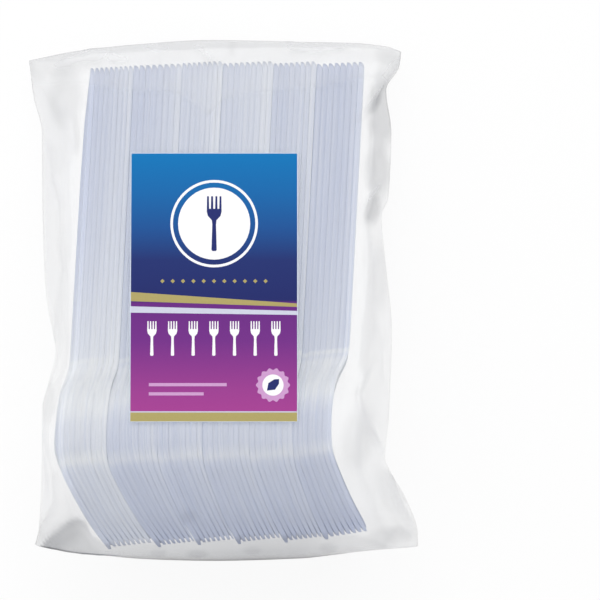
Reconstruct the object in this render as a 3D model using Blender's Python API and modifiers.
"""A clear film bag packed with nested plastic forks, with a printed label on its front.

The pack lies on its back: its front faces +Z, its top edge +Y, and the forks stand on edge side by side along X.
All sizes below are in millimetres, and the meshes are made in metres.
"""

import math

import bmesh
import bpy
import numpy as np
from mathutils import Matrix, Vector

MM = 0.001

# One fork. "Along" is measured from the end of its handle to the tips of its tines.
FORK_LENGTH = 171.0
TINE_ROOT = 145.0
TINE_MIDDLE = 159.0
FORK_WALL = 1.1
TINE_TIP_WALL = 1.0
TROUGH_DEPTH = 1.3
RIM_FLANK = 2.2
HEAD_HALF_WIDTH = 12.6
HANDLE_END_HALF_WIDTH = 3.0

# Stations of the fork: along, half width, bend towards the hollow side, depth of its trough.
FORK_STATIONS = (
    (0.0, 2.0, 0.0, 0.0),
    (3.0, HANDLE_END_HALF_WIDTH, 0.0, 0.6),
    (100.0, 4.8, 0.0, TROUGH_DEPTH),
    (111.0, 5.2, -0.9, TROUGH_DEPTH),
    (119.5, 10.4, -4.2, TROUGH_DEPTH),
    (132.0, HEAD_HALF_WIDTH, -7.5, TROUGH_DEPTH),
)
ROOT_BEND = -3.5
MIDDLE_BEND = 4.1
TIP_BEND = 10.6

# The sides of the two tines on one half of the fork, measured from its middle line.
INNER_TINE = {"root": (1.36, 4.6), "middle": (1.5, 4.3), "tip": (2.25, 3.55)}
OUTER_TINE = {"root": (7.3, HEAD_HALF_WIDTH), "middle": (7.5, 11.0), "tip": (8.2, 9.5)}

# How the forks nest: each stands one pitch beside the last at its tips, a little more at its handle's end (the fan),
# and one rise above it.
PITCH = 1.70
FAN = 0.3
RISE = 0.30

# Bunches of a layer, from the left: forks in it, lean in degrees, and where the tip of its first fork is in X and Y.
BUNCHES = (
    (9, 1.0, -40.4, -86.4),
    (8, 1.5, -23.5, -86.6),
    (8, 2.1, -9.2, -86.3),
    (9, 2.6, 5.4, -86.1),
    (8, 3.2, 21.7, -85.5),
    (8, 3.8, 36.1, -84.6),
)

# The back layer's bunches stand a little aside of the front ones, and their tips a little lower.
BACK_LAYER_ASIDE = 0.6
BACK_LAYER_DOWN = (0.9, 1.4, 1.7, 2.0, 2.2, 2.2)

# Film bag.
FILM = 0.2
CLEAR = 0.5
LAYER_GAP = 1.1
VENT_RADIUS = 2.5
VENT_AT = (10.0, 30.0)

# Outline of the bag as seen from the front: X against Y for its sides, and Y against X for its ends.
LEFT_SIDE = (
    (-85.9, -65.8),
    (-80.0, -64.4),
    (-59.7, -63.5),
    (-38.0, -63.2),
    (-29.6, -61.2),
    (-17.0, -58.6),
    (-4.4, -61.2),
    (8.2, -62.6),
    (34.8, -63.4),
    (58.6, -63.7),
    (71.2, -66.6),
    (84.0, -68.3),
)
RIGHT_SIDE = (
    (-86.4, 68.3),
    (-81.7, 68.2),
    (-69.5, 64.0),
    (-59.7, 58.4),
    (-55.1, 56.8),
    (-42.2, 58.1),
    (-10.7, 59.2),
    (12.4, 57.1),
    (29.2, 55.7),
    (36.2, 58.1),
    (58.6, 59.1),
    (73.7, 57.3),
    (81.7, 61.9),
    (87.0, 62.6),
)
BOTTOM_END = (
    (-65.8, -85.9),
    (-51.8, -88.4),
    (-25.6, -90.8),
    (-2.8, -91.3),
    (27.0, -90.5),
    (38.8, -89.3),
    (50.8, -87.9),
    (68.3, -86.4),
)
TOP_END = (
    (-68.3, 84.0),
    (-51.8, 87.3),
    (-29.0, 89.8),
    (-4.6, 91.2),
    (27.0, 90.6),
    (46.9, 90.1),
    (58.1, 88.7),
    (62.6, 87.0),
)

# Edges of the packed forks, which the film wraps: X against Y, and Y against X.
FORKS_LEFT = (
    (-89.0, -43.0),
    (-76.0, -49.6),
    (-63.0, -56.2),
    (-54.0, -59.6),
    (-45.7, -60.2),
    (-36.0, -57.6),
    (-25.4, -54.6),
    (-16.0, -53.2),
    (35.0, -51.4),
    (88.0, -50.2),
)
FORKS_RIGHT = (
    (-89.0, 53.5),
    (-80.0, 52.2),
    (-69.5, 48.0),
    (-55.5, 45.6),
    (-44.0, 46.0),
    (-20.0, 47.6),
    (35.0, 50.4),
    (88.0, 53.4),
)
TIPS_LINE = ((-60.0, -88.9), (-20.0, -88.9), (30.0, -87.9), (55.0, -86.2))
HANDLES_LINE = ((-60.0, 83.6), (-33.0, 86.6), (-20.0, 86.8), (30.0, 88.0), (55.0, 88.4))

# Height of the front film over the forks against Y. It is flat where the label lies.
FILM_HEIGHT = ((-89.0, 58.6), (-60.0, 56.4), (-46.0, 54.1), (-43.5, 53.2), (54.0, 22.0), (90.0, 13.8))
SEAM_SHARE = 0.40
SEAM_LIFT = 1.5
PLEAT = 0.4

# Front label.
LABEL_LEFT = -32.2
LABEL_RIGHT = 26.2
LABEL_BOTTOM = -42.9
LABEL_TOP = 51.3
LABEL_THICKNESS = 0.2
LABEL_GAP = 0.3
LABEL_CORNER = 1.5


def clear_scene():
    """Take away whatever the session starts with."""
    for item in list(bpy.data.objects):
        bpy.data.objects.remove(item, do_unlink=True)


def new_collection(name):
    """Make a collection and link it to the scene."""
    collection = bpy.data.collections.new(name)
    bpy.context.scene.collection.children.link(collection)
    return collection


def make_material(name, colour, roughness, alpha=1.0):
    """Make a plain Principled material."""
    material = bpy.data.materials.new(name)
    material.use_nodes = True
    shader = material.node_tree.nodes["Principled BSDF"]
    shader.inputs["Base Color"].default_value = (*colour, 1.0)
    shader.inputs["Roughness"].default_value = roughness
    shader.inputs["Alpha"].default_value = alpha
    return material


def add_object(name, bm, material, collection):
    """Turn a bmesh in millimetres into a named object with its normals outward."""
    bmesh.ops.recalc_face_normals(bm, faces=bm.faces)
    bmesh.ops.scale(bm, vec=Vector((MM, MM, MM)), verts=bm.verts)
    mesh = bpy.data.meshes.new(name)
    bm.to_mesh(mesh)
    bm.free()
    mesh.materials.append(material)
    item = bpy.data.objects.new(name, mesh)
    collection.objects.link(item)
    return item


def bridge(bm, first, second, closed=True):
    """Join two rows of as many vertices with quads."""
    count = len(first)
    last = count if closed else count - 1
    for i in range(last):
        j = (i + 1) % count
        bm.faces.new((first[i], first[j], second[j], second[i]))


def pitch_at(along):
    """Distance from one fork of a bunch to the next, at a place along them."""
    return PITCH + FAN * (1 - along / FORK_LENGTH)


def long_edge(along, half_width, bend, side, count, groove):
    """Points across one long edge of a nest of forks, with a groove between each fork and the next."""
    points = []
    for i in range(count):
        x = i * pitch_at(along) + bend
        y = i * RISE - along
        points.append((x, y, side * half_width))
        points.append((x + FORK_WALL, y, side * half_width))
        if i < count - 1:
            middle = x + (FORK_WALL + pitch_at(along)) / 2
            points.append((middle, y + RISE / 2, side * (half_width - groove)))
    return points


def face_points(along, bend, trough, across, count, front):
    """Points up the open face of the first fork (front False) or of the last one (front True)."""
    fork = count - 1 if front else 0
    x = fork * pitch_at(along) + bend - trough + (FORK_WALL if front else 0.0)
    y = fork * RISE - along
    return [(x, y, z) for z in across]


def body_ring(bm, station, count):
    """One closed ring of vertices round a nest of forks, at a station of the handle or the head."""
    along, half_width, bend, trough = station
    inner = max(half_width - RIM_FLANK, 0.8)
    low_edge = long_edge(along, half_width, bend, -1, count, 1.4)
    high_edge = long_edge(along, half_width, bend, 1, count, 1.4)
    front = face_points(along, bend, trough, (-inner, inner), count, True)
    back = face_points(along, bend, trough, (inner, -inner), count, False)
    points = low_edge + front + high_edge[::-1] + back
    return [bm.verts.new(point) for point in points]


def tine_ring(bm, along, bend, wall, sides, side, count):
    """Four corners of one tine of a nest: the back then the front, each from its inner to its outer side."""
    inner, outer = sides
    last = count - 1
    corners = (
        (bend, -along, side * inner),
        (bend, -along, side * outer),
        (last * pitch_at(along) + bend + wall, last * RISE - along, side * outer),
        (last * pitch_at(along) + bend + wall, last * RISE - along, side * inner),
    )
    return [bm.verts.new(corner) for corner in corners]


def add_tine(bm, root_faces, sides, side, count):
    """Run one tine from its root to its tip. The root is its back and front corners and the row of its outer edge."""
    back_inner, front_inner, outer_row = root_faces
    middle = tine_ring(bm, TINE_MIDDLE, MIDDLE_BEND, FORK_WALL, sides["middle"], side, count)
    tip = tine_ring(bm, FORK_LENGTH, TIP_BEND, TINE_TIP_WALL, sides["tip"], side, count)
    back_outer = outer_row[0]
    front_outer = outer_row[-1]
    bm.faces.new((back_inner, back_outer, middle[1], middle[0]))
    bm.faces.new((front_outer, front_inner, middle[3], middle[2]))
    bm.faces.new((front_inner, back_inner, middle[0], middle[3]))
    for near, far in zip(outer_row[:-1], outer_row[1:]):
        bm.faces.new((near, far, middle[1]))
    bm.faces.new((front_outer, middle[2], middle[1]))
    bridge(bm, middle, tip)
    bm.faces.new(tip)


def root_fan(bm, near_low, near_high, row):
    """Join the two trough corners of the last body ring to the eight root points of one face."""
    bm.faces.new((near_low[0], near_low[1], row[1], row[0]))
    bm.faces.new((near_low[1], row[2], row[1]))
    bm.faces.new((near_low[1], row[3], row[2]))
    bm.faces.new((near_low[1], near_high[1], row[4], row[3]))
    bm.faces.new((near_high[1], row[5], row[4]))
    bm.faces.new((near_high[1], row[6], row[5]))
    bm.faces.new((near_high[1], near_high[0], row[7], row[6]))


def fork_nest(count):
    """Mesh of one fork, or of several nested forks that touch along their backs, with its handle's end at the origin."""
    bm = bmesh.new()
    rings = [body_ring(bm, station, count) for station in FORK_STATIONS]
    bm.faces.new(rings[0])
    for near, far in zip(rings[:-1], rings[1:]):
        bridge(bm, near, far)

    edge = 3 * count - 1
    inner_root = INNER_TINE["root"]
    outer_root = OUTER_TINE["root"]
    across = (-outer_root[0], -inner_root[1], -inner_root[0], inner_root[0], inner_root[1], outer_root[0])
    low = [bm.verts.new(p) for p in long_edge(TINE_ROOT, HEAD_HALF_WIDTH, ROOT_BEND, -1, count, 0.0)]
    high = [bm.verts.new(p) for p in long_edge(TINE_ROOT, HEAD_HALF_WIDTH, ROOT_BEND, 1, count, 0.0)]
    front = [bm.verts.new(p) for p in face_points(TINE_ROOT, ROOT_BEND, 0.0, across, count, True)]
    back = [bm.verts.new(p) for p in face_points(TINE_ROOT, ROOT_BEND, 0.0, across, count, False)]

    last = rings[-1]
    last_low = last[:edge]
    last_high = last[edge + 2 : 2 * edge + 2][::-1]
    bridge(bm, last_low, low, closed=False)
    bridge(bm, last_high, high, closed=False)
    front_row = [low[-1], *front, high[-1]]
    back_row = [low[0], *back, high[0]]
    root_fan(bm, (last_low[-1], last[edge]), (last_high[-1], last[edge + 1]), front_row)
    root_fan(bm, (last_low[0], last[-1]), (last_high[0], last[-2]), back_row)

    for gap in (1, 3, 5):
        bm.faces.new((back_row[gap], front_row[gap], front_row[gap + 1], back_row[gap + 1]))
    add_tine(bm, (back_row[1], front_row[1], low), OUTER_TINE, -1, count)
    add_tine(bm, (back_row[6], front_row[6], high), OUTER_TINE, 1, count)
    add_tine(bm, (back_row[3], front_row[3], [back_row[2], front_row[2]]), INNER_TINE, -1, count)
    add_tine(bm, (back_row[4], front_row[4], [back_row[5], front_row[5]]), INNER_TINE, 1, count)
    bmesh.ops.recalc_face_normals(bm, faces=bm.faces)
    return bm


def layer_tilts():
    """Tilt of the back layer on the flat film, and of the front layer on the back one."""
    reach = 132.0 - 3.0
    half = math.atan((HEAD_HALF_WIDTH - HANDLE_END_HALF_WIDTH) / reach)
    return half, 3 * half


def layer_height(front, along):
    """Height of a layer's middle line above the flat back, at a place along its forks."""
    back_tilt, front_tilt = layer_tilts()
    floor = FILM + CLEAR
    if not front:
        return floor + HANDLE_END_HALF_WIDTH + (along - 3.0) * math.tan(back_tilt)
    start = floor + 3 * HANDLE_END_HALF_WIDTH + LAYER_GAP
    return start + (along - 3.0) * math.tan(front_tilt)


def bunch_matrix(front, lean, tip_x, tip_y):
    """Place a nest so that the tip of its first fork is where the photo shows it."""
    back_tilt, front_tilt = layer_tilts()
    tilt = front_tilt if front else back_tilt
    turn = Matrix.Rotation(-tilt, 4, "X") @ Matrix.Rotation(-math.radians(lean), 4, "Z")
    tip = turn @ Vector((TIP_BEND, -FORK_LENGTH, 0.0))
    end_height = layer_height(front, 0.0)
    return Matrix.Translation((tip_x - tip.x, tip_y - tip.y, end_height)) @ turn


def fork_step(i):
    """Place of a fork in its bunch: so many pitches and rises along, and turned about its tip by the fan."""
    tip = Vector((TIP_BEND, -FORK_LENGTH, 0.0))
    fan_turn = Matrix.Rotation(-i * FAN / FORK_LENGTH, 4, "Z")
    stepped_tip = tip + Vector((i * PITCH, i * RISE, 0.0))
    return Matrix.Translation(stepped_tip) @ fan_turn @ Matrix.Translation(-tip)


def add_front_forks(material, collection):
    """The front layer, with one object for each fork."""
    number = 0
    for count, lean, tip_x, tip_y in BUNCHES:
        place = bunch_matrix(True, lean, tip_x, tip_y)
        for i in range(count):
            number += 1
            bm = fork_nest(1)
            bmesh.ops.transform(bm, matrix=place @ fork_step(i), verts=bm.verts)
            add_object(f"fork_{number:02d}", bm, material, collection)


def add_back_forks(material, collection):
    """The back layer, with one object for each bunch of nested forks."""
    for number, (count, lean, tip_x, tip_y) in enumerate(BUNCHES, start=1):
        place = bunch_matrix(False, lean, tip_x + BACK_LAYER_ASIDE, tip_y - BACK_LAYER_DOWN[number - 1])
        bm = fork_nest(count)
        bmesh.ops.transform(bm, matrix=place, verts=bm.verts)
        add_object(f"fork_bunch_back_{number}", bm, material, collection)


def read_curve(points, at):
    """Value of a curve given by its points, in order of the first number."""
    return float(np.interp(at, [p[0] for p in points], [p[1] for p in points]))


def film_height(y):
    """Height of the front film over the forks."""
    return read_curve(FILM_HEIGHT, y)


def seam_height(x, y):
    """Height of the edge where the front and the back film meet."""
    ripple = math.sin(x / 9.0) * math.cos(y / 11.0)
    return SEAM_LIFT + SEAM_SHARE * film_height(y) + 1.2 * ripple


def outline_point(across, up):
    """A point of the bag's outline, for a place on the border of the unit square."""
    bottom_y = LEFT_SIDE[0][0] + up * (LEFT_SIDE[-1][0] - LEFT_SIDE[0][0])
    right_y = RIGHT_SIDE[0][0] + up * (RIGHT_SIDE[-1][0] - RIGHT_SIDE[0][0])
    bottom_x = BOTTOM_END[0][0] + across * (BOTTOM_END[-1][0] - BOTTOM_END[0][0])
    top_x = TOP_END[0][0] + across * (TOP_END[-1][0] - TOP_END[0][0])
    if across in (0.0, 1.0):
        side, y = (LEFT_SIDE, bottom_y) if across == 0.0 else (RIGHT_SIDE, right_y)
        return read_curve(side, y), y
    end, x = (BOTTOM_END, bottom_x) if up == 0.0 else (TOP_END, top_x)
    return x, read_curve(end, x)


def packed_point(across, up):
    """A point of the region over the forks, for a place in the unit square."""
    y = -88.0 + up * 175.0
    for _ in range(3):
        x = (1 - across) * read_curve(FORKS_LEFT, y) + across * read_curve(FORKS_RIGHT, y)
        y = (1 - up) * read_curve(TIPS_LINE, x) + up * read_curve(HANDLES_LINE, x)
    return x, y


def border_places(columns, rows):
    """Places round the border of the unit square, anticlockwise from the lower left corner."""
    places = [(i / columns, 0.0) for i in range(columns)]
    places += [(1.0, j / rows) for j in range(rows)]
    places += [(1.0 - i / columns, 1.0) for i in range(columns)]
    places += [(0.0, 1.0 - j / rows) for j in range(rows)]
    return places


def wall_point(place, share, low, pleat=0.0):
    """A point of the film between the outline (share 0) and the packed region (share 1).

    A pleat pushes the point in or out, as a part of its share, and leaves its height.
    """
    outline_x, outline_y = outline_point(*place)
    packed_x, packed_y = packed_point(*place)
    inward = share * (1.0 + pleat)
    x = outline_x + inward * (packed_x - outline_x)
    y = outline_y + inward * (packed_y - outline_y)
    seam = seam_height(outline_x, outline_y)
    target = 0.0 if low else film_height(packed_y)
    rise = math.sin(share * math.pi / 2) ** (0.9 if low else 0.7)
    return x, y, seam + (target - seam) * rise


def pleated_ring(bm, places, share, low, pleat):
    """A ring of the film's wall whose vertices stand in and out by turns, as gathered film does."""
    ring = []
    for i, place in enumerate(places):
        turn = pleat if i % 2 else -pleat
        ring.append(bm.verts.new(wall_point(place, share, low, turn)))
    return ring


def film_bag(material, collection, cutters):
    """The film: a closed skin over the packed forks, flat at the back, with the wall of the film inside it."""
    columns, rows = 12, 22
    bm = bmesh.new()
    places = border_places(columns, rows)
    seam = pleated_ring(bm, places, 0.0, False, 0.0)
    upper = pleated_ring(bm, places, 0.14, False, PLEAT)
    crown = pleated_ring(bm, places, 0.52, False, -PLEAT / 2)
    lower = pleated_ring(bm, places, 0.4, True, PLEAT)
    floor = pleated_ring(bm, places, 1.0, True, 0.0)
    grid = {}
    for i in range(columns + 1):
        for j in range(rows + 1):
            x, y = packed_point(i / columns, j / rows)
            grid[i, j] = bm.verts.new((x, y, film_height(y)))
    rim = [grid[round(a * columns), round(b * rows)] for a, b in places]
    bridge(bm, seam, upper)
    bridge(bm, upper, crown)
    bridge(bm, crown, rim)
    bridge(bm, seam, lower)
    bridge(bm, lower, floor)
    bm.faces.new(floor)
    for i in range(columns):
        for j in range(rows):
            bm.faces.new((grid[i, j], grid[i + 1, j], grid[i + 1, j + 1], grid[i, j + 1]))
    bag = add_object("film_bag", bm, material, collection)

    shell = bag.modifiers.new("film_wall", "SOLIDIFY")
    shell.thickness = FILM * MM
    shell.offset = -1.0
    shell.use_rim = False
    shell.use_even_offset = False

    cutter_mesh = bmesh.new()
    middle = Matrix.Translation((*VENT_AT, 0.0))
    bmesh.ops.create_cone(
        cutter_mesh, cap_ends=True, segments=16, radius1=VENT_RADIUS, radius2=VENT_RADIUS, depth=2.0, matrix=middle
    )
    cutter = add_object("vent_cutter", cutter_mesh, material, cutters)
    cutter.display_type = "WIRE"
    cutter.hide_render = True
    vent = bag.modifiers.new("vent_hole", "BOOLEAN")
    vent.operation = "DIFFERENCE"
    vent.solver = "EXACT"
    vent.object = cutter
    return bag


def front_label(material, collection):
    """The printed label: a thin sheet with rounded corners on the flat part of the front film."""
    slope = (film_height(LABEL_BOTTOM) - film_height(LABEL_TOP)) / (LABEL_TOP - LABEL_BOTTOM)
    corners = []
    for x, y, start in (
        (LABEL_RIGHT - LABEL_CORNER, LABEL_TOP - LABEL_CORNER, 0),
        (LABEL_LEFT + LABEL_CORNER, LABEL_TOP - LABEL_CORNER, 90),
        (LABEL_LEFT + LABEL_CORNER, LABEL_BOTTOM + LABEL_CORNER, 180),
        (LABEL_RIGHT - LABEL_CORNER, LABEL_BOTTOM + LABEL_CORNER, 270),
    ):
        for step in range(4):
            angle = math.radians(start + step * 30)
            corners.append((x + LABEL_CORNER * math.cos(angle), y + LABEL_CORNER * math.sin(angle)))
    bm = bmesh.new()
    lift = LABEL_GAP * math.sqrt(1 + slope * slope)
    base = film_height(LABEL_TOP) + slope * LABEL_TOP + lift
    top = LABEL_THICKNESS * math.sqrt(1 + slope * slope)
    low = [bm.verts.new((x, y, base - slope * y)) for x, y in corners]
    high = [bm.verts.new((x, y, base - slope * y + top)) for x, y in corners]
    bridge(bm, low, high)
    bm.faces.new(low)
    bm.faces.new(high)
    return add_object("front_label", bm, material, collection)


def build():
    """Build the whole pack."""
    clear_scene()
    parts = new_collection("cutlery_pack")
    cutters = new_collection("cutters")
    film = make_material("clear_film", (0.93, 0.94, 0.95), 0.15, 0.35)
    plastic = make_material("fork_plastic", (0.80, 0.83, 0.90), 0.35)
    paper = make_material("label_print", (0.20, 0.22, 0.55), 0.45)
    film_bag(film, parts, cutters)
    front_label(paper, parts)
    add_front_forks(plastic, parts)
    add_back_forks(plastic, parts)


build()
